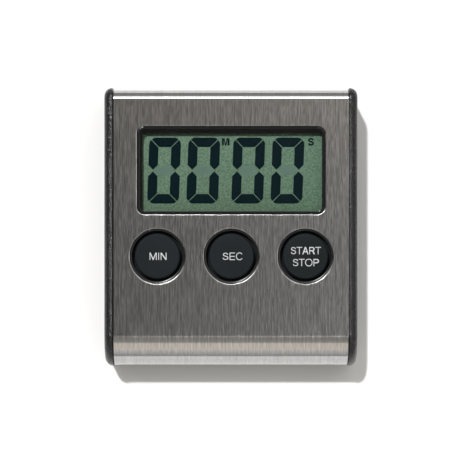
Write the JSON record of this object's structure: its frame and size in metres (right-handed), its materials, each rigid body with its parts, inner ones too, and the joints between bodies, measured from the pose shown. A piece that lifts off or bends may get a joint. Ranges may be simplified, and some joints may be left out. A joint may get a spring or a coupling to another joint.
{
  "type": "digital kitchen timer",
  "caption": "Flat digital countdown timer in a wrapped brushed-steel cover with black end cheeks, an LCD window, a row of round push buttons, a magnetic back and a fold-out stand.",
  "frame": {"origin": "centre of the back face, on the plane that the timer lies on", "axes": "+Z out of the display face, +Y towards the display's top edge, +X to the display's right"},
  "size_m": [0.0644, 0.0712, 0.02],
  "materials": {
    "brushed_cover": "stainless steel, brushed along the display's height",
    "textured_black": "black ABS with a fine spark-eroded texture",
    "frame_black": "smooth satin black ABS",
    "gloss_black": "polished black ABS",
    "button_charcoal": "satin charcoal ABS with white printed legends",
    "clear_lens": "clear polished acrylic",
    "lcd_glass": "clear float glass with a faint green cast",
    "lcd_film": "grey-green polarising film with dark navy digit segments",
    "foam": "black closed-cell foam",
    "grey_rubber": "matt silicone rubber",
    "carbon": "conductive carbon rubber",
    "board": "green solder mask on fibreglass",
    "epoxy": "black potting resin",
    "nickel": "nickel-plated steel",
    "brass": "rolled brass sheet",
    "ceramic": "off-white fired ceramic",
    "cell_sleeve": "plain blue shrink sleeve",
    "lead_red": "red PVC insulation",
    "lead_black": "black PVC insulation"
  },
  "bodies": {
    "case": {"front_cover": "brushed_cover", "left_cheek": "textured_black", "right_cheek": "textured_black", "front_frame": "frame_black", "rear_housing": "textured_black", "display_bezel": "gloss_black", "display_lens": "clear_lens", "display_gasket": "foam", "lcd_polariser": "lcd_film", "lcd_front_glass": "lcd_glass", "lcd_rear_glass": "lcd_glass", "lcd_reflector": "lcd_film", "zebra_strip": "grey_rubber", "circuit_board": "board", "timer_chip": "epoxy", "quartz_crystal": "nickel", "capacitor_1": "ceramic", "capacitor_2": "ceramic", "resistor": "epoxy", "buzzer_disc": "brass", "buzzer_ceramic": "ceramic", "buzzer_lead_live": "lead_red", "buzzer_lead_ground": "lead_black", "battery_lead_minus": "lead_black", "battery_lead_plus": "lead_red", "battery_cell": "cell_sleeve", "battery_contact_minus": "nickel", "battery_contact_plus": "nickel", "battery_spring": "nickel", "left_magnet": "nickel", "right_magnet": "nickel", "min_dome": "grey_rubber", "sec_dome": "grey_rubber", "start_stop_dome": "grey_rubber", "board_screw_1": "nickel", "case_screw_1": "nickel", "board_screw_2": "nickel", "case_screw_2": "nickel", "board_screw_3": "nickel", "case_screw_3": "nickel", "board_screw_4": "nickel", "case_screw_4": "nickel"},
    "min_button": {"min_button_cap": "button_charcoal", "min_contact_pill": "carbon"},
    "sec_button": {"sec_button_cap": "button_charcoal", "sec_contact_pill": "carbon"},
    "start_stop_button": {"start_stop_button_cap": "button_charcoal", "start_stop_contact_pill": "carbon"},
    "stand": {"stand_leg": "textured_black"},
    "door": {"battery_door": "textured_black"}
  },
  "joints": [
    {"name": "min_press", "type": "slide", "parent": "case", "child": "min_button", "axis": [0, 0, -1], "range_m": [0, 0.0008], "stiffness_N_per_m": 600, "deforming": ["min_dome"]},
    {"name": "sec_press", "type": "slide", "parent": "case", "child": "sec_button", "axis": [0, 0, -1], "range_m": [0, 0.0008], "stiffness_N_per_m": 600, "deforming": ["sec_dome"]},
    {"name": "start_stop_press", "type": "slide", "parent": "case", "child": "start_stop_button", "axis": [0, 0, -1], "range_m": [0, 0.0008], "stiffness_N_per_m": 600, "deforming": ["start_stop_dome"]},
    {"name": "stand_hinge", "type": "hinge", "parent": "case", "child": "stand", "pos_m": [0, 0.0105, 0.0014], "axis": [1, 0, 0], "range_deg": [0, 40]},
    {"name": "door_slide", "type": "slide", "parent": "case", "child": "door", "axis": [0, 1, 0], "range_m": [0, 0.019]}
  ]
}
